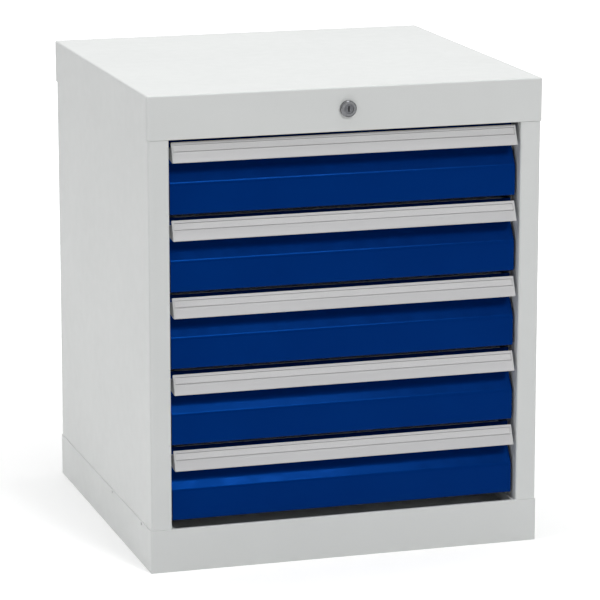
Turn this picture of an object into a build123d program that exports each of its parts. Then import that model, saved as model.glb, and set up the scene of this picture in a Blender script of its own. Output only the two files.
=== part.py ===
from build123d import *
import os
from math import cos, hypot, radians, sin

# Drawer unit: a folded-steel case with five drawers on full-extension slides and one
# central lock. Sizes are in millimetres. X runs across, Y from front to back, Z is up.
# A "depth" is measured back from the front face of the top cap. The origin is on the
# floor, under the middle of the whole unit.

# Case: overall sizes, across the top cap
case_width = 510.0
case_depth = 490.0
case_height = 600.0

# Top cap: a lid that laps over the side panels
cap_height = 55.0
cap_sheet = 1.2
cap_bend = 2.5
cap_lap = 0.3
apron_return = 14.0

# Base plinth: an upside-down pan that the side panels stand on
base_height = 55.0
base_sheet = 1.2
base_bend = 1.5
base_overhang = 1.0
base_front_setback = 0.2
base_return = 22.0
deck_front_rim = 3.0
deck_rear_rim = 60.0
deck_side_gap = 3.0
deck_well_depth = 12.0
anchor_hole = 9.0
anchor_inset = 12.0
anchor_end_inset = 40.0
link_hole = 4.0
link_hole_drop = 3.7
link_hole_front_depth = 48.0
link_hole_spacing = 152.0

# Side panels
wall_sheet = 1.2
wall_bend = 2.6
stile_width = 26.5
stile_setback = 0.5
stile_seam = 0.4
jamb_return = 28.0
rear_flange = 20.0
rear_lap = 0.3
panel_tab = 15.0

# Back panel
back_lap = 7.0
back_flange = 12.0

# Uprights that carry the slides
post_width = 30.0
post_sheet = 1.5
post_bend = 2.5
post_jamb_gap = 2.0
rear_post_setback = 92.0
post_top_gap = 8.5

# Drawers
drawer_count = 5
gap_over_drawers = 4.5
gap_under_drawers = 1.5
gap_between_fronts = 6.5
gap_beside_fronts = 3.3

# Drawer front: heights are measured down from the top edge of the grip strip
front_sheet = 1.0
front_setback = 10.6
front_top_step = 0.3
recess_depth = 24.6
recess_drop = 29.0
crease_drop = 52.2
crease_bend = 9.0
recess_bend = 6.0
front_bend = 2.0
front_tray_gap = 0.3

# Grip strip: its face leans forward, with the lower edge in front
grip_height = 24.3
grip_top_depth = 8.8
grip_proud = 1.4
grip_wall = 2.6
grip_edge_round = 0.8
grip_lip = 6.0
grip_lip_wall = 1.6
grip_web_drop = 8.5
grip_web = 1.5
grip_web_root = 0.4
grip_flange = 13.0
grip_end_inset = 1.1
label_start = 3.4
label_width = 9.4
label_pocket = 1.8
label_sheet = 1.0
label_upper_gap = 0.4
label_lower_gap = 1.2
end_cap = 2.5
end_cap_edge = 0.3

# Drawer tray
tray_sheet = 1.0
tray_bend = 2.0
tray_rear_gap = 50.0
tray_stack_gap = 8.3
tray_rise = 1.0
tray_front_rim = 16.0
tray_rear_rim = 13.0
tray_side_rim = 6.0
catch_tab_width = 24.0
catch_tab_length = 20.0
catch_tab_sheet = 1.5
catch_slot_width = 8.0
catch_slot_length = 10.0
catch_slot_start = 6.0

# Slides: "reach" is measured from the drawer side towards the case
slide_front_depth = 28.0
slide_rear_gap = 62.0
slide_thickness = 12.7
slide_height = 45.7
slide_sheet = 1.2
slide_bend = 1.8
slide_jamb_gap = 1.0
slide_rise = 3.4
slide_lip_reach = 4.2
slide_lip = 3.2
outer_race = 4.1
inner_race = 3.8
mid_web_gap = 1.7
mid_flange_reach = 1.8
inner_tip_gap = 0.8
cage_clearance = 0.3
cage_share = 0.45
cage_end_gap = 6.0
cage_side_gap = 0.6

# Lock
lock_drop = 27.0
lock_rim = 20.5
lock_rim_proud = 5.0
lock_rim_edge = 1.2
lock_body = 16.0
lock_body_length = 20.0
lock_hole_clearance = 0.2
plug_diameter = 12.5
plug_clearance = 0.05
plug_face_sink = 0.8
plug_tail = 5.0
plug_tail_length = 10.0
plug_back_gap = 4.0
key_slot_width = 1.6
key_slot_height = 7.5
key_slot_depth = 6.0
nut_flats = 22.0
nut_height = 4.0

# Lock shaft, with a crank at its rear end
shaft_diameter = 8.0
shaft_clearance = 0.05
sleeve_diameter = 12.0
sleeve_length = 14.0
sleeve_gap = 0.5
socket_clearance = 0.1
crank_radius = 10.0
crank_turn = 90.0
crank_plate = 3.0
crank_plate_width = 14.0
crank_pin = 6.0
crank_bar_gap = 13.0
crank_pin_past_bar = 1.0
bracket_sheet = 2.0
bracket_width = 28.0
bracket_below_shaft = 12.0
bracket_flange = 20.0
bracket_from_crank = 10.0

# Lock bar and its guide studs
bar_width = 20.0
bar_thickness = 2.0
bar_above_pin = 12.0
bar_foot_rise = 35.0
bar_clearance = 0.3
pin_clearance = 0.6
guide_shank = 6.0
guide_head = 11.0
guide_head_thickness = 2.0
guide_shoulder_length = 5.0
guide_foot_rise = 55.0
guide_top_drop = 45.0
finger_width = 5.0
finger_thickness = 3.0
finger_tip = 4.0
finger_tip_drop = 3.0
finger_arm_gap = 1.0

# Rivets
rivet_shank = 4.0
rivet_hole_clearance = 0.05
rivet_head = 7.0
rivet_head_thickness = 1.2
back_rivet_count = 4
back_rivet_foot_rise = 30.0
back_rivet_top_drop = 25.0

# Places that follow from the sizes above
grip_lean = (grip_top_depth + grip_proud) / grip_height
grip_reach = grip_proud - grip_edge_round * (grip_lean + hypot(grip_lean, 1) - 1)
front_reach = max(grip_reach, lock_rim_proud)
front_y = -(case_depth + front_reach) / 2 + front_reach
wall_half = case_width / 2 - cap_sheet - cap_lap
wall_inner = wall_half - wall_sheet
wall_back_depth = case_depth - cap_sheet - rear_lap
wall_top = case_height - cap_sheet
opening_half = wall_half - stile_width
opening_top = case_height - cap_height
back_panel_depth = wall_back_depth - wall_sheet
back_inner_depth = back_panel_depth - wall_sheet
drawer_pitch = (opening_top - base_height - gap_over_drawers - gap_under_drawers) / drawer_count
front_half = opening_half - gap_beside_fronts
grip_half = front_half - grip_end_inset
front_drop = drawer_pitch - gap_between_fronts
tray_front_depth = recess_depth + front_sheet
tray_back_depth = case_depth - tray_rear_gap
tray_height = drawer_pitch - tray_stack_gap
slide_back = opening_half - slide_jamb_gap
tray_half = slide_back - slide_thickness
post_front_depth = stile_setback + jamb_return + post_jamb_gap
rear_post_depth = case_depth - rear_post_setback
slide_length = case_depth - slide_front_depth - slide_rear_gap
slide_drop = drawer_pitch / 2 - slide_rise
lock_height = case_height - lock_drop
crank_stroke = 2 * crank_radius * sin(radians(crank_turn / 2))
crank_drop = crank_radius * sin(radians(crank_turn / 2))
crank_inset = crank_radius * cos(radians(crank_turn / 2))
bar_x = -(crank_radius + crank_inset) / 2
bar_back_depth = back_inner_depth - guide_shoulder_length - bar_clearance
bar_front_depth = bar_back_depth - bar_thickness
crank_plate_depth = bar_front_depth - crank_bar_gap
rivet_hole = rivet_shank + 2 * rivet_hole_clearance


def y_at(depth):
    """The Y of a depth behind the front face of the top cap."""
    return front_y + depth


def grip_top(number):
    """The height of the top edge of a drawer's grip strip; drawer 1 is the top one."""
    return opening_top - gap_over_drawers - (number - 1) * drawer_pitch


def block(x_low, x_high, depth_low, depth_high, z_low, z_high):
    """A block between two corners."""
    middle = ((x_low + x_high) / 2, y_at((depth_low + depth_high) / 2), (z_low + z_high) / 2)
    return Pos(*middle) * Box(x_high - x_low, depth_high - depth_low, z_high - z_low)


def bar_along_y(diameter, x, z, depth_low, depth_high):
    """A round bar that runs from front to back."""
    middle = (x, y_at((depth_low + depth_high) / 2), z)
    return Pos(*middle) * Rot(90, 0, 0) * Cylinder(diameter / 2, depth_high - depth_low)


def bar_along_x(diameter, depth, z, x_low, x_high):
    """A round bar that runs across."""
    middle = ((x_low + x_high) / 2, y_at(depth), z)
    return Pos(*middle) * Rot(0, 90, 0) * Cylinder(diameter / 2, x_high - x_low)


def sheet_section(points, sheet, bends):
    """The section of a folded sheet: points follow its outer face, the sheet lies to their left."""
    outer = FilletPolyline(*points, radius=bends)
    return make_face(offset(outer, amount=sheet, side=Side.LEFT, closed=True))


def both_sides(shape):
    """A right-hand piece with its mirrored left-hand twin."""
    return [shape, mirror(shape, about=Plane.YZ)]


def side_plane(x):
    """A plane facing +X whose own axes are Y and Z."""
    return Plane(origin=(x, 0, 0), x_dir=(0, 1, 0), z_dir=(1, 0, 0))


def folded_pan(x_half, depth_low, depth_high, z_low, z_high, sheet, bend, open_side, rims):
    """A box folded from one sheet, open at its top or bottom, with rims turned inwards.

    rims gives the width of the side, front and rear rims."""
    outer = block(-x_half, x_half, depth_low, depth_high, z_low, z_high)
    inner = block(-x_half + sheet, x_half - sheet, depth_low + sheet, depth_high - sheet,
                  z_low + sheet, z_high - sheet)
    side_rim, front_rim, rear_rim = rims
    mouth = block(-x_half + side_rim, x_half - side_rim, depth_low + front_rim,
                  depth_high - rear_rim, z_low + sheet, z_high + sheet)
    closed_faces = outer.faces().sort_by(Axis.Z)
    closed = closed_faces[0] if open_side > 0 else closed_faces[-1]
    outer = fillet(outer.edges().filter_by(Axis.Z) + closed.edges(), bend)
    inner_faces = inner.faces().sort_by(Axis.Z)
    inner_closed = inner_faces[0] if open_side > 0 else inner_faces[-1]
    inner = fillet(inner.edges().filter_by(Axis.Z) + inner_closed.edges(), bend - sheet)
    if open_side < 0:
        mouth = Pos(0, 0, -2 * sheet) * mouth
    return outer - inner - mouth


# Case


def side_panel():
    """The right-hand side panel, with its stile, jamb return, rear flange and tabs."""
    back = y_at(wall_back_depth)
    face = y_at(stile_setback)
    points = [
        (opening_half, face + jamb_return),
        (opening_half, face),
        (wall_half, face),
        (wall_half, back),
        (wall_half - rear_flange, back),
    ]
    section = Plane.XY.offset(base_height) * sheet_section(points, wall_sheet, wall_bend)
    panel = extrude(section, amount=wall_top - base_height)
    # The stile stops under the apron of the top cap
    stile_end = opening_top - stile_seam
    clear_depth = cap_sheet + cap_lap
    panel -= block(opening_half - wall_sheet, wall_half + wall_sheet, -wall_sheet, clear_depth,
                   stile_end, wall_top + wall_sheet)
    panel -= block(opening_half - wall_sheet, wall_inner, 0, stile_setback + jamb_return + 1,
                   stile_end, wall_top + wall_sheet)
    tab_front = post_front_depth + 1.2 * post_width
    tab_back = rear_post_depth - 0.2 * post_width
    for z_low in (base_height, wall_top - wall_sheet):
        panel += block(wall_inner - panel_tab, wall_inner, tab_front, tab_back,
                       z_low, z_low + wall_sheet)
    return panel


def back_panel():
    """The back panel, with flanges along its top and bottom edges."""
    half = wall_half - rear_flange + back_lap
    outside = y_at(back_panel_depth)
    points = [
        (outside - back_flange, base_height),
        (outside, base_height),
        (outside, wall_top),
        (outside - back_flange, wall_top),
    ]
    section = side_plane(-half) * sheet_section(points, wall_sheet, wall_bend)
    panel = extrude(section, amount=2 * half)
    for x, z in back_rivet_places():
        panel -= bar_along_y(rivet_hole, x, z, back_inner_depth - 1, back_panel_depth + 1)
    return panel


def back_rivet_places():
    """Where the back panel is riveted to the rear flanges."""
    x = wall_half - rear_flange + back_lap / 2
    foot = base_height + back_rivet_foot_rise
    step = (opening_top - back_rivet_top_drop - foot) / (back_rivet_count - 1)
    heights = [foot + row * step for row in range(back_rivet_count)]
    return [(side * x, z) for side in (-1, 1) for z in heights]


def rivet_flange_holes(panel):
    """A side panel with the holes for the back panel's rivets."""
    for x, z in back_rivet_places():
        panel -= bar_along_y(rivet_hole, x, z, back_panel_depth - 0.5, wall_back_depth + 1)
    return panel


def top_cap():
    """The lid over the case: plate, apron, side skirts and rear skirt."""
    cap = folded_pan(case_width / 2, 0, case_depth, opening_top, case_height, cap_sheet,
                     cap_bend, -1, (cap_sheet, cap_sheet, cap_sheet))
    lintel_half = wall_inner - cap_lap
    cap += block(-lintel_half, lintel_half, cap_sheet / 2, cap_sheet + apron_return,
                 opening_top, opening_top + cap_sheet)
    hole = lock_body + 2 * lock_hole_clearance
    cap -= bar_along_y(hole, 0, lock_height, -1, cap_sheet + 1)
    return cap


def base_plinth():
    """The pan under the case: deck with a shallow well, skirts and standing flanges."""
    half = wall_half + base_overhang
    back = case_depth - base_front_setback
    base = folded_pan(half, base_front_setback, back, 0, base_height, base_sheet, base_bend,
                      -1, (base_return, base_return, base_return))
    for side in (-1, 1):
        for depth in (anchor_end_inset, case_depth - anchor_end_inset):
            hole = Cylinder(anchor_hole / 2, 4 * base_sheet)
            base -= Pos(side * (half - anchor_inset), y_at(depth), base_sheet / 2) * hole
    well_half = opening_half - deck_side_gap
    well_front = base_front_setback + deck_front_rim
    well_rear = case_depth - deck_rear_rim
    well_floor = base_height - deck_well_depth
    base += block(-well_half, well_half, well_front, well_rear, well_floor, base_height)
    base -= block(-well_half + base_sheet, well_half - base_sheet, well_front + base_sheet,
                  well_rear - base_sheet, well_floor + base_sheet, base_height + 1)
    for step in range(2):
        depth = link_hole_front_depth + step * link_hole_spacing
        height = base_height - link_hole_drop
        base -= bar_along_x(link_hole, depth, height, -half - 1, half + 1)
    return base


def slide_centre(number):
    """The height of the middle of a drawer's slides."""
    return grip_top(number) - slide_drop


def post_depths():
    """The depths of the middles of the front and rear uprights."""
    return [post_front_depth + post_width / 2, rear_post_depth + post_width / 2]


def slide_uprights():
    """Four channel posts, two on each side, welded to the side panels."""
    posts = []
    for middle in post_depths():
        front = y_at(middle - post_width / 2)
        back = y_at(middle + post_width / 2)
        points = [(wall_inner, back), (slide_back, back), (slide_back, front), (wall_inner, front)]
        section = Plane.XY.offset(base_height) * sheet_section(points, post_sheet, post_bend)
        post = extrude(section, amount=wall_top - base_height - post_top_gap)
        for number in range(1, drawer_count + 1):
            post -= bar_along_x(rivet_hole, middle, slide_centre(number),
                                slide_back - 1, slide_back + post_sheet + 1)
        posts += both_sides(post)
    return Compound(children=posts)


# Slides


def slide_member(points, number, sheet_bend):
    """One slide member on the right-hand side, from its section around the slide's middle."""
    centre = slide_centre(number)
    plane = Plane(origin=(tray_half, y_at(slide_front_depth), centre), x_dir=(1, 0, 0),
                  z_dir=(0, -1, 0))
    section = plane * sheet_section(points, slide_sheet, sheet_bend)
    return extrude(section, amount=-slide_length)


def outer_half_height():
    return slide_height / 2


def mid_half_height():
    return outer_half_height() - slide_sheet - outer_race


def inner_half_height():
    return mid_half_height() - slide_sheet - inner_race


def mid_web_reach():
    return slide_thickness - slide_sheet - mid_web_gap


def inner_tip_reach():
    return mid_web_reach() - slide_sheet - inner_tip_gap


def outer_slides(number):
    """The pair of outer members, riveted to the uprights."""
    half = outer_half_height()
    points = [
        (slide_lip_reach, -half + slide_lip),
        (slide_lip_reach, -half),
        (slide_thickness, -half),
        (slide_thickness, half),
        (slide_lip_reach, half),
        (slide_lip_reach, half - slide_lip),
    ]
    member = slide_member(points, number, slide_bend)
    for depth in post_depths():
        member -= bar_along_x(rivet_hole, depth, slide_centre(number),
                              slide_back - slide_sheet - 1, slide_back + 1)
    return Compound(children=both_sides(member))


def mid_slides(number):
    """The pair of middle members."""
    half = mid_half_height()
    points = [
        (mid_flange_reach, -half),
        (mid_web_reach(), -half),
        (mid_web_reach(), half),
        (mid_flange_reach, half),
    ]
    return Compound(children=both_sides(slide_member(points, number, slide_bend)))


def inner_slides(number):
    """The pair of inner members, fixed to the drawer's sides."""
    half = inner_half_height()
    points = [
        (inner_tip_reach(), half),
        (0, half),
        (0, -half),
        (inner_tip_reach(), -half),
    ]
    return Compound(children=both_sides(slide_member(points, number, slide_bend)))


def ball_cages(number):
    """The cages that hold the balls above and below each middle member.

    The rear half of the middle member runs in the outer one, its front half holds the inner."""
    centre = slide_centre(number)
    outer_low = mid_half_height() + cage_clearance
    outer_high = outer_half_height() - slide_sheet - cage_clearance
    inner_low = inner_half_height() + cage_clearance
    inner_high = mid_half_height() - slide_sheet - cage_clearance
    slide_back_depth = slide_front_depth + slide_length
    outer_x = (tray_half + slide_lip_reach + slide_sheet + cage_side_gap,
               tray_half + slide_thickness - slide_sheet - cage_side_gap)
    inner_x = (tray_half + slide_sheet + cage_side_gap,
               tray_half + mid_web_reach() - slide_sheet - cage_side_gap)
    cage_length = cage_share * slide_length
    outer_end = slide_back_depth - cage_end_gap
    inner_start = slide_front_depth + cage_end_gap
    cages = []
    for side in (-1, 1):
        low, high = sorted((side * outer_low, side * outer_high))
        cages += both_sides(block(*outer_x, outer_end - cage_length, outer_end,
                                  centre + low, centre + high))
        low, high = sorted((side * inner_low, side * inner_high))
        cages += both_sides(block(*inner_x, inner_start, inner_start + cage_length,
                                  centre + low, centre + high))
    return Compound(children=cages)


def case_rivets():
    """Rivets that hold the outer slides to the uprights and the back panel to its flanges."""
    rivets = []
    web_inside = slide_back - slide_sheet
    web_outside = slide_back + post_sheet
    for number in range(1, drawer_count + 1):
        height = slide_centre(number)
        for depth in post_depths():
            rivet = bar_along_x(rivet_shank, depth, height, web_inside, web_outside)
            rivet += bar_along_x(rivet_head, depth, height,
                                 web_inside - rivet_head_thickness, web_inside)
            rivet += bar_along_x(rivet_head, depth, height,
                                 web_outside, web_outside + rivet_head_thickness)
            rivets += both_sides(rivet)
    for x, z in back_rivet_places():
        rivet = bar_along_y(rivet_shank, x, z, back_inner_depth, wall_back_depth)
        rivet += bar_along_y(rivet_head, x, z, wall_back_depth,
                             wall_back_depth + rivet_head_thickness)
        rivet += bar_along_y(rivet_head, x, z, back_inner_depth - rivet_head_thickness,
                             back_inner_depth)
        rivets.append(rivet)
    return Compound(children=rivets)


# Drawers


def drawer_tray(number):
    """The drawer's box, with rims turned inwards and the slotted catch tab at the rear."""
    top = grip_top(number) + tray_rise
    bottom = top - tray_height
    tray = folded_pan(tray_half, tray_front_depth, tray_back_depth, bottom, top, tray_sheet,
                      tray_bend, 1, (tray_side_rim, tray_front_rim, tray_rear_rim))
    tab_half = catch_tab_width / 2
    tray += block(bar_x - tab_half, bar_x + tab_half, tray_back_depth - tray_sheet,
                  tray_back_depth + catch_tab_length, top - catch_tab_sheet, top)
    slot_half = catch_slot_width / 2
    slot_start = tray_back_depth + catch_slot_start
    tray -= block(bar_x - slot_half, bar_x + slot_half, slot_start,
                  slot_start + catch_slot_length, top - 2 * catch_tab_sheet, top + 1)
    return tray


def drawer_front(number):
    """The blue front: one folded sheet with a sloped finger recess and closed ends."""
    top = grip_top(number)
    face = y_at(front_setback)
    recess = y_at(recess_depth)
    foot = y_at(tray_front_depth - front_tray_gap)
    low = top - front_drop
    points = [
        (recess, top + tray_rise - front_top_step),
        (recess, top - recess_drop),
        (face, top - crease_drop),
        (face, low),
        (foot, low),
    ]
    bends = [recess_bend, crease_bend, front_bend]
    section = side_plane(-front_half) * sheet_section(points, front_sheet, bends)
    front = extrude(section, amount=2 * front_half)
    outline = FilletPolyline(*points[1:], radius=bends[1:])
    closing = Polyline(points[-1], (foot, top - recess_drop), points[1])
    end_face = make_face(outline.edges() + closing.edges())
    for x in (-front_half, front_half - front_sheet):
        front += extrude(side_plane(x) * end_face, amount=front_sheet)
    return front


def grip_point(along, inward, top):
    """A point on the grip strip's section: distance down its sloping face, then into it."""
    run = grip_top_depth + grip_proud
    length = hypot(run, grip_height)
    down_y = -run / length
    down_z = -grip_height / length
    y = y_at(grip_top_depth) + along * down_y - inward * down_z
    z = top + along * down_z + inward * down_y
    return (y, z)


def grip_face_length():
    return hypot(grip_top_depth + grip_proud, grip_height)


def grip_inside(drop):
    """The Y of the back of the grip strip's wall, a distance below its top edge."""
    back_of_wall = y_at(grip_top_depth) + grip_wall * grip_face_length() / grip_height
    return back_of_wall - drop * (grip_top_depth + grip_proud) / grip_height


def grip_strip(number):
    """The grip strip: leaning face with a label pocket, lower lip, top web and rear flange."""
    top = grip_top(number)
    length = grip_face_length()
    label_end = label_start + label_width
    low_front = (y_at(-grip_proud), top - grip_height)
    lip_back = y_at(-grip_proud + grip_lip)
    lip_inner = top - grip_height + grip_lip_wall
    inner_run = length - (grip_lip_wall + grip_wall * 0.4) / (grip_height / length)
    face = Polyline(
        grip_point(0, 0, top),
        grip_point(label_start, 0, top),
        grip_point(label_start, label_pocket, top),
        grip_point(label_end, label_pocket, top),
        grip_point(label_end, 0, top),
        low_front,
        (lip_back, top - grip_height),
        (lip_back, lip_inner),
        grip_point(inner_run, grip_wall, top),
        grip_point(0.6, grip_wall, top),
        close=True,
    )
    section = make_face(face)
    rounded = section.vertices().sort_by_distance((low_front[0], low_front[1], 0))[0]
    section = fillet(rounded, grip_edge_round)
    web_top = top - grip_web_drop
    recess = y_at(recess_depth)
    web = Polyline(
        (grip_inside(grip_web_drop + grip_web) - grip_web_root, web_top - grip_web),
        (recess - grip_web, web_top - grip_web),
        (recess - grip_web, web_top - grip_flange),
        (recess, web_top - grip_flange),
        (recess, web_top),
        (grip_inside(grip_web_drop) - grip_web_root, web_top),
        close=True,
    )
    section += make_face(web)
    half = grip_half - end_cap
    return extrude(side_plane(-half) * section, amount=2 * half)


def grip_end_caps(number):
    """The plugs that close both ends of the grip strip."""
    top = grip_top(number)
    recess = y_at(recess_depth)
    web_top = top - grip_web_drop
    low_front = (y_at(-grip_proud), top - grip_height)
    outline = Polyline(
        grip_point(0, 0, top),
        low_front,
        (y_at(-grip_proud + grip_lip), top - grip_height),
        (recess - grip_web, web_top - grip_flange),
        (recess, web_top - grip_flange),
        (recess, web_top),
        (grip_inside(grip_web_drop) + grip_web, web_top),
        grip_point(0.6, grip_wall, top),
        close=True,
    )
    face = make_face(outline)
    rounded = face.vertices().sort_by_distance((low_front[0], low_front[1], 0))[0]
    face = fillet(rounded, grip_edge_round)
    cap = extrude(side_plane(grip_half - end_cap) * face, amount=end_cap)
    outer_face = cap.faces().sort_by(Axis.X)[-1]
    cap = chamfer(outer_face.edges(), end_cap_edge)
    return Compound(children=both_sides(cap))


def label_strip(number):
    """The label and its clear cover, in the pocket of the grip strip."""
    top = grip_top(number)
    start = label_start + label_upper_gap
    end = label_start + label_width - label_lower_gap
    outline = Polyline(
        grip_point(start, label_pocket - label_sheet, top),
        grip_point(end, label_pocket - label_sheet, top),
        grip_point(end, label_pocket, top),
        grip_point(start, label_pocket, top),
        close=True,
    )
    half = grip_half - end_cap
    return extrude(side_plane(-half) * make_face(outline), amount=2 * half)


# Lock


def lock_barrel():
    """The fixed lock body, with its rim in front of the apron."""
    barrel = bar_along_y(lock_body, 0, lock_height, -0.5, lock_body_length)
    rim = bar_along_y(lock_rim, 0, lock_height, -lock_rim_proud, 0)
    rim = chamfer(rim.edges().sort_by(Axis.Y)[0], lock_rim_edge)
    bore = plug_diameter + 2 * plug_clearance
    return barrel + rim - bar_along_y(bore, 0, lock_height, -lock_rim_proud - 1,
                                      lock_body_length + 1)


def lock_nut():
    """The hexagon nut behind the apron."""
    hexagon = RegularPolygon(nut_flats / 2, 6, major_radius=False)
    plane = Plane(origin=(0, y_at(cap_sheet), lock_height), x_dir=(1, 0, 0), z_dir=(0, 1, 0))
    nut = extrude(plane * hexagon, amount=nut_height)
    return nut - bar_along_y(lock_body, 0, lock_height, 0, cap_sheet + nut_height + 1)


def plug_back_depth():
    return lock_body_length + plug_back_gap


def lock_plug():
    """The turning plug, with its key slot and the square tail that drives the shaft."""
    front = -lock_rim_proud + plug_face_sink
    plug = bar_along_y(plug_diameter, 0, lock_height, front, plug_back_depth())
    half = plug_tail / 2
    plug += block(-half, half, plug_back_depth() - 1, plug_back_depth() + plug_tail_length,
                  lock_height - half, lock_height + half)
    slot_half = key_slot_width / 2
    plug -= block(-slot_half, slot_half, front - 1, front + key_slot_depth,
                  lock_height - key_slot_height / 2, lock_height + key_slot_height / 2)
    return plug


def crank_pin_place():
    """The crank pin's place at rest, half the turn below the level."""
    return (-crank_inset, lock_height - crank_drop)


def lock_shaft():
    """The shaft from the plug's tail to the rear, ending in a crank with its pin."""
    sleeve_front = plug_back_depth() + sleeve_gap
    sleeve_back = sleeve_front + sleeve_length
    shaft = bar_along_y(sleeve_diameter, 0, lock_height, sleeve_front, sleeve_back)
    half = plug_tail / 2 + socket_clearance
    socket_back = plug_back_depth() + plug_tail_length + socket_clearance
    shaft -= block(-half, half, sleeve_front - 1, socket_back,
                   lock_height - half, lock_height + half)
    shaft += bar_along_y(shaft_diameter, 0, lock_height, sleeve_back, crank_plate_depth)
    pin_x, pin_z = crank_pin_place()
    plate_plane = Plane(origin=(0, y_at(crank_plate_depth), 0), x_dir=(1, 0, 0),
                        z_dir=(0, -1, 0))
    middle = (pin_x / 2, (lock_height + pin_z) / 2)
    lever = SlotCenterToCenter(crank_radius, crank_plate_width)
    lever = Pos(*middle) * Rot(0, 0, 180 - crank_turn * 1.5) * lever
    shaft += extrude(plate_plane * lever, amount=-crank_plate)
    pin_end = bar_back_depth + crank_pin_past_bar
    shaft += bar_along_y(crank_pin, pin_x, pin_z, crank_plate_depth + crank_plate / 2, pin_end)
    return shaft


def shaft_bracket():
    """The bracket under the top cap that carries the rear end of the shaft."""
    back = crank_plate_depth - bracket_from_crank
    front = back - bracket_sheet
    half = bracket_width / 2
    bracket = block(-half, half, front, back, lock_height - bracket_below_shaft, wall_top)
    bracket += block(-half, half, back - bracket_flange, back, wall_top - bracket_sheet, wall_top)
    hole = shaft_diameter + 2 * shaft_clearance
    return bracket - bar_along_y(hole, 0, lock_height, front - 1, back + 1)


def upright_slot(width, x, z_low, z_high, depth_low, depth_high):
    """A slot with round ends that runs up and down, cut from front to back."""
    slot = block(x - width / 2, x + width / 2, depth_low, depth_high, z_low, z_high)
    slot += bar_along_y(width, x, z_low, depth_low, depth_high)
    slot += bar_along_y(width, x, z_high, depth_low, depth_high)
    return slot


def guide_heights():
    """The heights of the lock bar's guide studs."""
    return [base_height + guide_foot_rise, opening_top - guide_top_drop]


def lock_bar():
    """The bar that the crank lifts, with one upturned finger behind each drawer."""
    pin_x, pin_z = crank_pin_place()
    half = bar_width / 2
    bar = block(bar_x - half, bar_x + half, bar_front_depth, bar_back_depth,
                base_height + bar_foot_rise, pin_z + bar_above_pin)
    arm_front = tray_back_depth + catch_slot_start + (catch_slot_length - finger_tip) / 2
    finger_half = finger_width / 2
    for number in range(1, drawer_count + 1):
        tab_under = grip_top(number) + tray_rise - catch_tab_sheet
        arm_top = tab_under - crank_stroke - finger_arm_gap
        bar += block(bar_x - finger_half, bar_x + finger_half, arm_front,
                     bar_front_depth + bar_thickness / 2, arm_top - finger_thickness, arm_top)
        bar += block(bar_x - finger_half, bar_x + finger_half, arm_front,
                     arm_front + finger_tip, arm_top - finger_thickness,
                     tab_under - finger_tip_drop)
    # The crank pin swings sideways in this slot while it lifts the bar
    slot_height = crank_pin + 2 * pin_clearance
    swing = crank_radius - crank_inset
    slot = block(bar_x - swing / 2, bar_x + swing / 2, bar_front_depth - 1, bar_back_depth + 1,
                 pin_z - slot_height / 2, pin_z + slot_height / 2)
    for end in (-1, 1):
        slot += bar_along_y(slot_height, bar_x + end * swing / 2, pin_z,
                            bar_front_depth - 1, bar_back_depth + 1)
    bar -= slot
    for height in guide_heights():
        bar -= upright_slot(guide_shank + 2 * bar_clearance, bar_x, height - crank_stroke,
                            height, bar_front_depth - 1, bar_back_depth + 1)
    return bar


def bar_guides():
    """The headed studs on the back panel that the lock bar slides on."""
    studs = []
    shoulder_front = back_inner_depth - guide_shoulder_length
    head_back = bar_front_depth - bar_clearance
    for height in guide_heights():
        stud = bar_along_y(guide_head, bar_x, height, shoulder_front, back_inner_depth)
        stud += bar_along_y(guide_shank, bar_x, height, head_back, shoulder_front)
        stud += bar_along_y(guide_head, bar_x, height, head_back - guide_head_thickness,
                            head_back)
        studs.append(stud)
    return Compound(children=studs)


# Nodes

right_panel = side_panel()
nodes = {
    "side_panel_right": rivet_flange_holes(right_panel),
    "side_panel_left": rivet_flange_holes(mirror(right_panel, about=Plane.YZ)),
    "back_panel": back_panel(),
    "top_cap": top_cap(),
    "base_plinth": base_plinth(),
    "slide_uprights": slide_uprights(),
    "case_rivets": case_rivets(),
    "lock_barrel": lock_barrel(),
    "lock_nut": lock_nut(),
    "lock_plug": lock_plug(),
    "lock_shaft": lock_shaft(),
    "shaft_bracket": shaft_bracket(),
    "lock_bar": lock_bar(),
    "bar_guides": bar_guides(),
}
drawer_pieces = {
    "drawer_tray": drawer_tray,
    "drawer_front": drawer_front,
    "grip_strip": grip_strip,
    "grip_end_caps": grip_end_caps,
    "label_strip": label_strip,
    "outer_slides": outer_slides,
    "mid_slides": mid_slides,
    "inner_slides": inner_slides,
    "ball_cages": ball_cages,
}
for number in range(1, drawer_count + 1):
    for name, make in drawer_pieces.items():
        nodes[f"{name}_{number}"] = make(number)

os.makedirs("parts", exist_ok=True)
for name, shape in nodes.items():
    export_step(shape, f"parts/{name}.step")
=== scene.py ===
import math

import bmesh
import bpy
from mathutils import Matrix, Vector


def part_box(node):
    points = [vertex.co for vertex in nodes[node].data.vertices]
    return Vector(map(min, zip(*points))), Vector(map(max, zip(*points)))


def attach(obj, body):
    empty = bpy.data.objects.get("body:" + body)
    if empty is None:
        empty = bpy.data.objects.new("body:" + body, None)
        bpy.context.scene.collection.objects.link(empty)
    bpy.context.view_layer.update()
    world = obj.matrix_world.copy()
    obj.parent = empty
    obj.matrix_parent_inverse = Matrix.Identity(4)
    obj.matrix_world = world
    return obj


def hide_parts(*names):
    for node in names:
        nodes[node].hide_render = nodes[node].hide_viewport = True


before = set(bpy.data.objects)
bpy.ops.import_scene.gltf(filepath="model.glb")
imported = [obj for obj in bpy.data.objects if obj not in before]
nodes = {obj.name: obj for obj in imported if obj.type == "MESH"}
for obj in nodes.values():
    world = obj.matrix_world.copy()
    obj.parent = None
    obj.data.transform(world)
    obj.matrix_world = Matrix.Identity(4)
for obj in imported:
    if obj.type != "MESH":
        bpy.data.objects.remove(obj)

# Sizes are in metres, as in the frame

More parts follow.
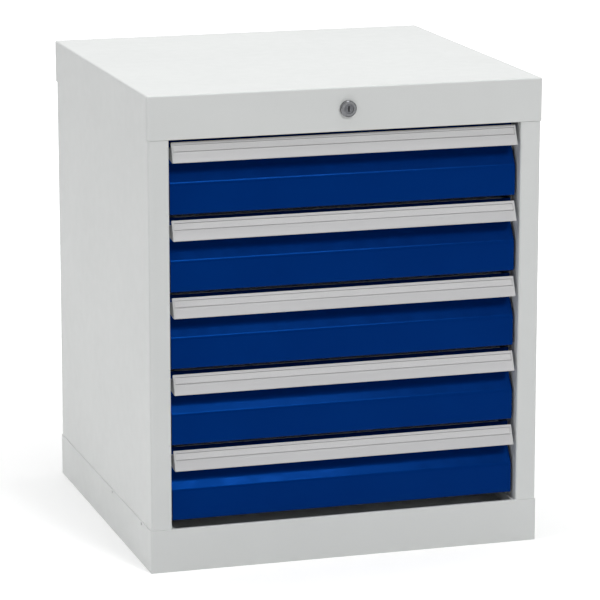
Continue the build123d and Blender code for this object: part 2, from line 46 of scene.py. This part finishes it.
scene = bpy.context.scene
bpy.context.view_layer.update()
drawers = range(1, 6)
front_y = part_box("top_cap")[0].y


def colour(hex_code):
    """A linear colour from the sRGB code a paint chart gives."""
    parts = [int(hex_code[i:i + 2], 16) / 255 for i in (0, 2, 4)]
    linear = [c / 12.92 if c <= 0.04045 else ((c + 0.055) / 1.055) ** 2.4 for c in parts]
    return (*linear, 1.0)


# Finishes

pattern_low = 0.35
pattern_high = 0.65


class Finish:
    """A material under construction: a principled shader with patterns on object coordinates."""

    def __init__(self, name, roughness, metallic=0.0, specular=0.5):
        self.material = bpy.data.materials.new(name)
        self.material.use_nodes = True
        self.tree = self.material.node_tree
        self.shader = self.tree.nodes["Principled BSDF"]
        self.shader.inputs["Roughness"].default_value = roughness
        self.shader.inputs["Metallic"].default_value = metallic
        self.shader.inputs["Specular IOR Level"].default_value = specular
        self.place = self.tree.nodes.new("ShaderNodeTexCoord").outputs["Object"]

    def link(self, start, end):
        self.tree.links.new(start, end)

    def noise(self, scale, detail, stretch=(1, 1, 1)):
        """Soft clouds, drawn out along the axes that stretch makes small."""
        mapping = self.tree.nodes.new("ShaderNodeMapping")
        mapping.inputs["Scale"].default_value = stretch
        self.link(self.place, mapping.inputs["Vector"])
        pattern = self.tree.nodes.new("ShaderNodeTexNoise")
        pattern.inputs["Scale"].default_value = scale
        pattern.inputs["Detail"].default_value = detail
        self.link(mapping.outputs["Vector"], pattern.inputs["Vector"])
        return pattern.outputs["Fac"]

    def spangle(self, scale):
        """Small flat crystals, each with a grey of its own."""
        cells = self.tree.nodes.new("ShaderNodeTexVoronoi")
        cells.inputs["Scale"].default_value = scale
        self.link(self.place, cells.inputs["Vector"])
        grey = self.tree.nodes.new("ShaderNodeSeparateColor")
        self.link(cells.outputs["Color"], grey.inputs["Color"])
        return grey.outputs["Red"]

    def spread(self, value, low, high):
        """The middle of a pattern's range, spread from low to high."""
        ranged = self.tree.nodes.new("ShaderNodeMapRange")
        ranged.inputs["From Min"].default_value = pattern_low
        ranged.inputs["From Max"].default_value = pattern_high
        ranged.inputs["To Min"].default_value = low
        ranged.inputs["To Max"].default_value = high
        self.link(value, ranged.inputs["Value"])
        return ranged.outputs["Result"]

    def shade(self, value, dark, light):
        """Colour that wanders between two sRGB codes."""
        mix = self.tree.nodes.new("ShaderNodeMix")
        mix.data_type = "RGBA"
        mix.inputs["A"].default_value = colour(dark)
        mix.inputs["B"].default_value = colour(light)
        self.link(self.spread(value, 0, 1), mix.inputs["Factor"])
        self.link(mix.outputs["Result"], self.shader.inputs["Base Color"])

    def dull(self, value, low, high):
        """Roughness that wanders between two values."""
        self.link(self.spread(value, low, high), self.shader.inputs["Roughness"])

    def relief(self, value, strength, depth):
        """Fine relief, added to any that the finish already has."""
        bump = self.tree.nodes.new("ShaderNodeBump")
        bump.inputs["Strength"].default_value = strength
        bump.inputs["Distance"].default_value = depth
        self.link(value, bump.inputs["Height"])
        normal = self.shader.inputs["Normal"]
        if normal.is_linked:
            self.link(normal.links[0].from_socket, bump.inputs["Normal"])
        self.link(bump.outputs["Normal"], normal)


def powder_coat(name, dark, light, roughness, specular, peel):
    """Baked powder paint: orange peel a couple of millimetres across, and faint clouding."""
    coat = Finish(name, roughness, specular=specular)
    coat.shade(coat.noise(scale=9, detail=3), dark, light)
    coat.dull(coat.noise(scale=60, detail=4), low=roughness - 0.04, high=roughness + 0.05)
    coat.relief(coat.noise(scale=620, detail=2), strength=peel, depth=0.00012)
    coat.relief(coat.noise(scale=2600, detail=1), strength=0.4 * peel, depth=0.00004)
    return coat.material


def blue_coat():
    """Deep blue powder paint whose soft gloss keeps the colour of the paint."""
    material = powder_coat("deep blue powder coat", "00286A", "002A6D",
                           roughness=0.16, specular=0.25, peel=0.08)
    shader = material.node_tree.nodes["Principled BSDF"]
    shader.inputs["Specular Tint"].default_value = colour("0064D8")
    return material


def extruded_grip():
    """Painted aluminium extrusion, with fine die lines along its length."""
    grip = Finish("grip paint", roughness=0.42, specular=0.35)
    grip.shade(grip.noise(scale=14, detail=3, stretch=(0.2, 1, 1)), "BDBDBE", "C4C4C5")
    lines = grip.noise(scale=700, detail=3, stretch=(0.006, 1, 1))
    grip.dull(lines, low=0.36, high=0.5)
    grip.relief(lines, strength=0.25, depth=0.00008)
    return grip.material


def moulded_cap():
    """End caps: moulded plastic with a fine spark-eroded grain."""
    plastic = Finish("end cap plastic", roughness=0.5, specular=0.4)
    plastic.shade(plastic.noise(scale=30, detail=2), "BCBDBD", "C4C5C5")
    plastic.relief(plastic.noise(scale=2400, detail=2), strength=0.35, depth=0.00008)
    return plastic.material


def covered_label():
    """Paper strip under a clear cover with a matt face."""
    label = Finish("label under cover", roughness=0.5, specular=0.25)
    label.shade(label.noise(scale=1500, detail=2), "CBCBCC", "D2D2D2")
    label.dull(label.noise(scale=40, detail=2), low=0.45, high=0.55)
    waves = label.noise(scale=90, detail=1, stretch=(0.2, 1, 1))
    label.relief(waves, strength=0.05, depth=0.0002)
    return label.material


def bright_steel(name, dark, light, roughness, grain):
    """Steel, plain or zinc plated, with small crystals and faint rolling lines."""
    steel = Finish(name, roughness, metallic=1.0)
    steel.shade(steel.spangle(grain), dark, light)
    smears = steel.noise(scale=220, detail=4, stretch=(1, 0.05, 1))
    steel.dull(smears, low=roughness - 0.03, high=roughness + 0.05)
    lines = steel.noise(scale=900, detail=3, stretch=(1, 0.03, 1))
    steel.relief(lines, strength=0.08, depth=0.00005)
    return steel.material


def satin_chrome():
    """Dark satin chrome on the barrel of the lock, a little dulled."""
    chrome = Finish("lock chrome", roughness=0.15, metallic=1.0)
    chrome.shade(chrome.noise(scale=400, detail=3), "606163", "6C6D6F")
    chrome.dull(chrome.noise(scale=900, detail=3), low=0.1, high=0.2)
    chrome.relief(chrome.noise(scale=1600, detail=2), strength=0.06, depth=0.00003)
    return chrome.material


def turned_nickel():
    """Plug of the lock, dulled and finely pitted by use."""
    nickel = Finish("turned nickel", roughness=0.42, metallic=1.0)
    nickel.shade(nickel.noise(scale=500, detail=3), "525356", "626366")
    nickel.dull(nickel.noise(scale=900, detail=3), low=0.34, high=0.5)
    nickel.relief(nickel.noise(scale=1800, detail=2), strength=0.3, depth=0.00004)
    return nickel.material


case_paint = powder_coat("light grey powder coat", "D5D7D6", "D7D9D8",
                         roughness=0.45, specular=0.35, peel=0.2)
front_paint = blue_coat()
inner_paint = powder_coat("light grey inner coat", "CBCDCD", "D2D4D4",
                          roughness=0.5, specular=0.3, peel=0.2)
grip_paint = extruded_grip()
cap_plastic = moulded_cap()
label_cover = covered_label()
slide_zinc = bright_steel("slide zinc", "A2A5A8", "ABAEB1", roughness=0.32, grain=260)
rivet_zinc = bright_steel("rivet zinc", "B0B1B3", "C4C5C6", roughness=0.32, grain=700)
lock_steel = bright_steel("lock steel", "9C9EA2", "B2B4B8", roughness=0.34, grain=320)
ball_steel = bright_steel("ball steel", "C9CACC", "DADBDD", roughness=0.12, grain=1500)
lock_chrome = satin_chrome()
plug_nickel = turned_nickel()

finish_of = {
    "side_panel_left": case_paint,
    "side_panel_right": case_paint,
    "back_panel": case_paint,
    "top_cap": case_paint,
    "base_plinth": case_paint,
    "slide_uprights": inner_paint,
    "case_rivets": rivet_zinc,
    "lock_barrel": lock_chrome,
    "lock_nut": lock_steel,
    "lock_plug": plug_nickel,
    "lock_shaft": lock_steel,
    "shaft_bracket": lock_steel,
    "lock_bar": lock_steel,
    "bar_guides": rivet_zinc,
}
drawer_finish = {
    "drawer_tray": inner_paint,
    "drawer_front": front_paint,
    "grip_strip": grip_paint,
    "grip_end_caps": cap_plastic,
    "label_strip": label_cover,
    "outer_slides": slide_zinc,
    "mid_slides": slide_zinc,
    "inner_slides": slide_zinc,
    "ball_cages": slide_zinc,
}
for number in drawers:
    for kind, finish in drawer_finish.items():
        finish_of[f"{kind}_{number}"] = finish
for node, finish in finish_of.items():
    for slot in nodes[node].material_slots:
        slot.material = finish


# Small pieces that repeat: made once, set at points by Geometry Nodes, then kept as plain meshes

# As in the solids
tray_sheet = 0.001
cage_clearance = 0.0003

# Of the scene's own pieces
rivet_radius = 0.0035
rivet_rise = 0.0012
rivet_sides = 28
shank_radius = 0.002
shank_run = 0.0011
screw_shares = (0.06, 0.5, 0.94)
screw_radius = 0.0034
screw_rise = 0.0016
screw_sides = 24
ball_step = 0.0088
ball_play = 0.00005
ball_segments = 14
ball_rings = 9
strip_thickness = 0.0009
strip_ease = strip_thickness / 4
turn_seed = 7
crease_angle = math.radians(32)
weld_distance = 0.000001


def solid_boxes(node):
    """The lowest and highest corners of each separate solid of a CAD node."""
    shape = bmesh.new()
    shape.from_mesh(nodes[node].data)
    bmesh.ops.remove_doubles(shape, verts=shape.verts, dist=weld_distance)
    seen = set()
    boxes = []
    for first in shape.verts:
        if first in seen:
            continue
        seen.add(first)
        island = [first]
        for vertex in island:
            for edge in vertex.link_edges:
                other = edge.other_vert(vertex)
                if other not in seen:
                    seen.add(other)
                    island.append(other)
        places = [vertex.co for vertex in island]
        low = Vector([min(place[axis] for place in places) for axis in range(3)])
        high = Vector([max(place[axis] for place in places) for axis in range(3)])
        boxes.append((low, high))
    shape.free()
    return boxes


def lathe(name, sides, profile):
    """A turned shape around Z, from radii and heights that run from the axis to the axis."""
    shape = bmesh.new()
    step = 2 * math.pi / sides
    rings = []
    for radius, height in profile:
        turns = range(sides if radius else 1)
        rings.append([shape.verts.new((radius * math.cos(turn * step),
                                       radius * math.sin(turn * step), height))
                      for turn in turns])
    for ring, other in zip(rings, rings[1:]):
        for turn in range(sides):
            after = turn + 1
            corners = [ring[turn % len(ring)], ring[after % len(ring)],
                       other[after % len(other)], other[turn % len(other)]]
            shape.faces.new(dict.fromkeys(corners))
    bmesh.ops.recalc_face_normals(shape, faces=shape.faces)
    return finished(name, shape)


def finished(name, shape):
    """An object from a bmesh, smooth except where its faces meet at an angle."""
    mesh = bpy.data.meshes.new(name)
    shape.to_mesh(mesh)
    shape.free()
    mesh.polygons.foreach_set("use_smooth", [True] * len(mesh.polygons))
    mesh.set_sharp_from_angle(angle=crease_angle)
    piece = bpy.data.objects.new(name, mesh)
    scene.collection.objects.link(piece)
    return piece


def point_cloud(name, places, facings=None):
    """An object whose vertices say where copies go, and which way they face."""
    mesh = bpy.data.meshes.new(name)
    mesh.from_pydata([tuple(place) for place in places], [], [])
    if facings:
        facing = mesh.attributes.new("facing", "FLOAT_VECTOR", "POINT")
        facing.data.foreach_set("vector", [c for direction in facings for c in direction])
    cloud = bpy.data.objects.new(name, mesh)
    scene.collection.objects.link(cloud)
    return cloud


def new_tree(name, sockets):
    """A Geometry Nodes tree with named inputs; gives the tree, its ends and the identifiers."""
    tree = bpy.data.node_groups.new(name, "GeometryNodeTree")
    tree.interface.new_socket("Geometry", in_out="OUTPUT", socket_type="NodeSocketGeometry")
    tree.interface.new_socket("Points", in_out="INPUT", socket_type="NodeSocketGeometry")
    names = {}
    for label, kind in sockets.items():
        socket = tree.interface.new_socket(label, in_out="INPUT", socket_type=kind)
        names[label] = socket.identifier
    return tree, tree.nodes.new("NodeGroupInput"), tree.nodes.new("NodeGroupOutput"), names


def repeat_tree():
    """Sets copies of one piece on points, each facing its own way and turned at random."""
    tree, given, result, names = new_tree("copies on points", {
        "Piece": "NodeSocketObject", "Finish": "NodeSocketMaterial", "Seed": "NodeSocketInt"})
    link = tree.links.new
    piece = tree.nodes.new("GeometryNodeObjectInfo")
    link(given.outputs["Piece"], piece.inputs["Object"])
    facing = tree.nodes.new("GeometryNodeInputNamedAttribute")
    facing.data_type = "FLOAT_VECTOR"
    facing.inputs["Name"].default_value = "facing"
    aim = tree.nodes.new("FunctionNodeAlignRotationToVector")
    aim.axis = "Z"
    link(facing.outputs["Attribute"], aim.inputs["Vector"])
    copies = tree.nodes.new("GeometryNodeInstanceOnPoints")
    link(given.outputs["Points"], copies.inputs["Points"])
    link(piece.outputs["Geometry"], copies.inputs["Instance"])
    link(aim.outputs["Rotation"], copies.inputs["Rotation"])
    chance = tree.nodes.new("FunctionNodeRandomValue")
    chance.data_type = "FLOAT_VECTOR"
    chance.inputs[0].default_value = (0, 0, 0)
    chance.inputs[1].default_value = (0, 0, 2 * math.pi)
    link(given.outputs["Seed"], chance.inputs["Seed"])
    turn = tree.nodes.new("GeometryNodeRotateInstances")
    link(copies.outputs["Instances"], turn.inputs["Instances"])
    link(chance.outputs[0], turn.inputs["Rotation"])
    real = tree.nodes.new("GeometryNodeRealizeInstances")
    link(turn.outputs["Instances"], real.inputs["Geometry"])
    paint = tree.nodes.new("GeometryNodeSetMaterial")
    link(real.outputs["Geometry"], paint.inputs["Geometry"])
    link(given.outputs["Finish"], paint.inputs["Material"])
    link(paint.outputs["Geometry"], result.inputs["Geometry"])
    return tree, names


def ball_row_tree():
    """Sets a row of balls along Y at each point."""
    tree, given, result, names = new_tree("rows of balls", {
        "Count": "NodeSocketInt", "Step": "NodeSocketVector", "Radius": "NodeSocketFloat",
        "Finish": "NodeSocketMaterial"})
    link = tree.links.new
    row = tree.nodes.new("GeometryNodeMeshLine")
    link(given.outputs["Count"], row.inputs["Count"])
    link(given.outputs["Step"], row.inputs["Offset"])
    rows = tree.nodes.new("GeometryNodeInstanceOnPoints")
    link(given.outputs["Points"], rows.inputs["Points"])
    link(row.outputs["Mesh"], rows.inputs["Instance"])
    places = tree.nodes.new("GeometryNodeRealizeInstances")
    link(rows.outputs["Instances"], places.inputs["Geometry"])
    ball = tree.nodes.new("GeometryNodeMeshUVSphere")
    ball.inputs["Segments"].default_value = ball_segments
    ball.inputs["Rings"].default_value = ball_rings
    link(given.outputs["Radius"], ball.inputs["Radius"])
    balls = tree.nodes.new("GeometryNodeInstanceOnPoints")
    link(places.outputs["Geometry"], balls.inputs["Points"])
    link(ball.outputs["Mesh"], balls.inputs["Instance"])
    real = tree.nodes.new("GeometryNodeRealizeInstances")
    link(balls.outputs["Instances"], real.inputs["Geometry"])
    smooth = tree.nodes.new("GeometryNodeSetShadeSmooth")
    link(real.outputs["Geometry"], smooth.inputs["Geometry"])
    paint = tree.nodes.new("GeometryNodeSetMaterial")
    link(smooth.outputs["Geometry"], paint.inputs["Geometry"])
    link(given.outputs["Finish"], paint.inputs["Material"])
    link(paint.outputs["Geometry"], result.inputs["Geometry"])
    return tree, names


def plain_piece(name, cloud, tree, names, values):
    """Runs a tree on a cloud of points and keeps the result as a plain mesh object."""
    modifier = cloud.modifiers.new("copies", "NODES")
    modifier.node_group = tree
    for label, value in values.items():
        modifier[names[label]] = value
    graph = bpy.context.evaluated_depsgraph_get()
    mesh = bpy.data.meshes.new_from_object(cloud.evaluated_get(graph))
    mesh.name = name
    piece = bpy.data.objects.new(name, mesh)
    scene.collection.objects.link(piece)
    bpy.data.objects.remove(cloud)
    return piece


def rivet_heads(tree, names):
    """Domed blind rivets: slides to uprights, and back panel to side panels."""
    head = lathe("rivet head", rivet_sides, [
        (0, 0.45 * rivet_rise), (0.2 * rivet_radius, 0.45 * rivet_rise),
        (0.27 * rivet_radius, 0.95 * rivet_rise), (0.34 * rivet_radius, rivet_rise),
        (0.55 * rivet_radius, 0.93 * rivet_rise), (0.78 * rivet_radius, 0.68 * rivet_rise),
        (0.95 * rivet_radius, 0.3 * rivet_rise), (rivet_radius, 0),
        (shank_radius, 0), (shank_radius, -shank_run), (0, -shank_run)])
    places = []
    facings = []
    for low, high in solid_boxes("case_rivets"):
        size = high - low
        axis = min(range(3), key=lambda a: size[a])
        for end in (-1, 1):
            place = (low + high) / 2
            place[axis] = (high if end > 0 else low)[axis] - end * rivet_rise
            facing = Vector()
            facing[axis] = end
            places.append(place)
            facings.append(facing)
    cloud = point_cloud("rivet places", places, facings)
    rivets = plain_piece("rivets", cloud, tree, names,
                         {"Piece": head, "Finish": rivet_zinc, "Seed": turn_seed})
    bpy.data.objects.remove(head)
    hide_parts("case_rivets")
    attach(rivets, "cabinet")


def drawer_screws(tree, names):
    """Pan-head screws that hold the inner slide members, seen inside each drawer."""
    head = lathe("screw head", screw_sides, [
        (0, 0.55 * screw_rise), (0.34 * screw_radius, 0.55 * screw_rise),
        (0.42 * screw_radius, 0.98 * screw_rise), (0.5 * screw_radius, screw_rise),
        (0.75 * screw_radius, 0.9 * screw_rise), (0.93 * screw_radius, 0.6 * screw_rise),
        (screw_radius, 0.2 * screw_rise), (screw_radius, 0), (0, 0)])
    for number in drawers:
        tray_low, tray_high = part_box(f"drawer_tray_{number}")
        slide_low, slide_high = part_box(f"inner_slides_{number}")
        height = (slide_low.z + slide_high.z) / 2
        places = []
        facings = []
        for side in (-1, 1):
            wall = (tray_high.x if side > 0 else tray_low.x) - side * tray_sheet
            for share in screw_shares:
                y = slide_low.y + share * (slide_high.y - slide_low.y)
                places.append(Vector((wall, y, height)))
                facings.append(Vector((-side, 0, 0)))
        cloud = point_cloud("screw places", places, facings)
        screws = plain_piece(f"slide_screws_{number}", cloud, tree, names,
                             {"Piece": head, "Finish": rivet_zinc, "Seed": turn_seed + number})
        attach(screws, f"drawer_{number}")
    bpy.data.objects.remove(head)


def ball_strip(name, boxes):
    """The thin retainer strips of one pair of slides, each with its edges eased."""
    shape = bmesh.new()
    for low, high in boxes:
        middle = (low + high) / 2
        size = Vector((high.x - low.x, high.y - low.y, strip_thickness))
        place = Matrix.Translation(middle) @ Matrix.Diagonal((*size, 1))
        made = bmesh.ops.create_cube(shape, size=1, matrix=place)
        edges = list(dict.fromkeys(edge for vertex in made["verts"]
                                   for edge in vertex.link_edges))
        bmesh.ops.bevel(shape, geom=edges, offset=strip_ease, segments=2,
                        affect="EDGES", profile=0.5)
    return finished(name, shape)


def ball_bearings(tree, names):
    """Each slide's balls, held in thin retainer strips between the races."""
    for number in drawers:
        boxes = solid_boxes(f"ball_cages_{number}")
        strips = ball_strip(f"ball_retainers_{number}", boxes)
        strips.data.materials.append(slide_zinc)
        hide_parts(f"ball_cages_{number}")
        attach(strips, f"mid_slide_{number}")
        rows = {}
        for low, high in boxes:
            rows.setdefault(round(high.z - low.z, 5), []).append((low, high))
        for letter, (height, cages) in zip("ab", sorted(rows.items())):
            radius = height / 2 + cage_clearance - ball_play
            low, high = cages[0]
            count = int((high.y - low.y) / ball_step)
            slack = (high.y - low.y - (count - 1) * ball_step) / 2
            starts = [Vector(((low.x + high.x) / 2, low.y + slack, (low.z + high.z) / 2))
                      for low, high in cages]
            cloud = point_cloud("ball row starts", starts)
            balls = plain_piece(f"balls_{number}_{letter}", cloud, tree, names,
                                {"Count": count, "Step": (0, ball_step, 0), "Radius": radius,
                                 "Finish": ball_steel})
            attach(balls, f"mid_slide_{number}")


copies_tree, copies_names = repeat_tree()
rivet_heads(copies_tree, copies_names)
drawer_screws(copies_tree, copies_names)
ball_bearings(*ball_row_tree())


# Studio

middle_height = 0.3
floor_reach = 30
paper_white = 0.88
near_floor = 0.5
far_floor = 1.6
near_glow = 0.28
mirrored_glow = 0.8
world_strength = 0.16


def sum_of(tree, *sockets):
    """A socket that adds up sockets and stays within 0 and 1."""
    total = sockets[0]
    for socket in sockets[1:]:
        step = tree.nodes.new("ShaderNodeMath")
        step.operation = "ADD"
        step.use_clamp = True
        tree.links.new(total, step.inputs[0])
        tree.links.new(socket, step.inputs[1])
        total = step.outputs["Value"]
    return total


def product_of(tree, level, socket):
    """A socket that multiplies a number or a socket by a socket."""
    step = tree.nodes.new("ShaderNodeMath")
    step.operation = "MULTIPLY"
    if isinstance(level, float):
        step.inputs[0].default_value = level
    else:
        tree.links.new(level, step.inputs[0])
    tree.links.new(socket, step.inputs[1])
    return step.outputs["Value"]


def paper_glow(tree):
    """A glow that makes the floor white in metal, and white to the camera away from the cabinet."""
    place = tree.nodes.new("ShaderNodeTexCoord")
    away = tree.nodes.new("ShaderNodeVectorMath")
    away.operation = "LENGTH"
    tree.links.new(place.outputs["Object"], away.inputs["Vector"])
    level = tree.nodes.new("ShaderNodeMapRange")
    level.inputs["From Min"].default_value = near_floor
    level.inputs["From Max"].default_value = far_floor
    level.inputs["To Min"].default_value = near_glow
    tree.links.new(away.outputs["Value"], level.inputs["Value"])
    path = tree.nodes.new("ShaderNodeLightPath")
    mirrored = sum_of(tree, path.outputs["Is Glossy Ray"], path.outputs["Is Transmission Ray"])
    seen = product_of(tree, level.outputs["Result"], path.outputs["Is Camera Ray"])
    strength = sum_of(tree, product_of(tree, mirrored_glow, mirrored), seen)
    glow = tree.nodes.new("ShaderNodeEmission")
    tree.links.new(strength, glow.inputs["Strength"])
    return glow.outputs["Emission"]


def studio_paper():
    """Pale paper that looks white and keeps a faint shadow."""
    paper = bpy.data.materials.new("studio paper")
    paper.use_nodes = True
    tree = paper.node_tree
    shader = tree.nodes["Principled BSDF"]
    shader.inputs["Base Color"].default_value = (paper_white, paper_white, paper_white, 1)
    shader.inputs["Roughness"].default_value = 1.0
    shader.inputs["Specular IOR Level"].default_value = 0.0
    both = tree.nodes.new("ShaderNodeAddShader")
    tree.links.new(shader.outputs["BSDF"], both.inputs[0])
    tree.links.new(paper_glow(tree), both.inputs[1])
    tree.links.new(both.outputs["Shader"], tree.nodes["Material Output"].inputs["Surface"])
    return paper


def studio_floor():
    """A plain sheet of paper under the cabinet."""
    sheet = bmesh.new()
    bmesh.ops.create_grid(sheet, x_segments=1, y_segments=1, size=floor_reach)
    mesh = bpy.data.meshes.new("studio floor")
    sheet.to_mesh(mesh)
    sheet.free()
    mesh.materials.append(studio_paper())
    floor = bpy.data.objects.new("studio_floor", mesh)
    scene.collection.objects.link(floor)


def white_world():
    """A dim world that looks white to the camera and in metal."""
    world = bpy.data.worlds.new("studio world")
    world.use_nodes = True
    scene.world = world
    tree = world.node_tree
    sky = tree.nodes["Background"]
    sky.inputs["Color"].default_value = (1, 1, 1, 1)
    path = tree.nodes.new("ShaderNodeLightPath")
    direct = sum_of(tree, path.outputs["Is Camera Ray"], path.outputs["Is Glossy Ray"],
                    path.outputs["Is Transmission Ray"])
    level = tree.nodes.new("ShaderNodeMapRange")
    level.inputs["To Min"].default_value = world_strength
    level.inputs["To Max"].default_value = 1.0
    tree.links.new(direct, level.inputs["Value"])
    tree.links.new(level.outputs["Result"], sky.inputs["Strength"])


def soft_box(name, place, aim_height, width, height, power):
    """A large soft lamp that faces a point on the cabinet's upright axis."""
    lamp = bpy.data.lights.new(name, "AREA")
    lamp.shape = "RECTANGLE"
    lamp.size = width
    lamp.size_y = height
    lamp.energy = power
    stand = bpy.data.objects.new(name, lamp)
    stand.location = place
    stand.rotation_mode = "QUATERNION"
    aim = Vector((0, 0, aim_height))
    stand.rotation_quaternion = (aim - Vector(place)).to_track_quat("-Z", "Y")
    scene.collection.objects.link(stand)


def camera():
    """The camera, at the photograph's angle."""
    azimuth = math.radians(-16.997)
    height = math.radians(12.701)
    distance = 4.1637
    across = -0.05877
    up = 0.03142
    back = Vector((math.sin(azimuth) * math.cos(height),
                   -math.cos(azimuth) * math.cos(height), math.sin(height)))
    right = Vector((math.cos(azimuth), math.sin(azimuth), 0))
    above = back.cross(right)
    middle = Vector((0, front_y, middle_height))
    lens = bpy.data.cameras.new("camera")
    lens.sensor_width = 36
    lens.lens = 200.8
    lens.clip_end = 100
    eye = bpy.data.objects.new("camera", lens)
    eye.location = middle + back * distance + right * across + above * up
    eye.rotation_mode = "QUATERNION"
    eye.rotation_quaternion = (-back).to_track_quat("-Z", "Y")
    scene.collection.objects.link(eye)
    scene.camera = eye


studio_floor()
white_world()
soft_box("key", place=(-5.2, -0.7, 3.9), aim_height=0.2, width=2.6, height=2.6, power=104)
soft_box("front box", place=(1.61, -6.0, 5.04), aim_height=0.3, width=1.7, height=1.7, power=198)
soft_box("low front", place=(2.07, -4.43, 1.34), aim_height=0.3, width=1.6, height=1.0, power=7)
soft_box("overhead", place=(0.2, 0.3, 4.4), aim_height=0.5, width=3.2, height=3.2, power=119)
camera()
scene.view_settings.view_transform = "Standard"
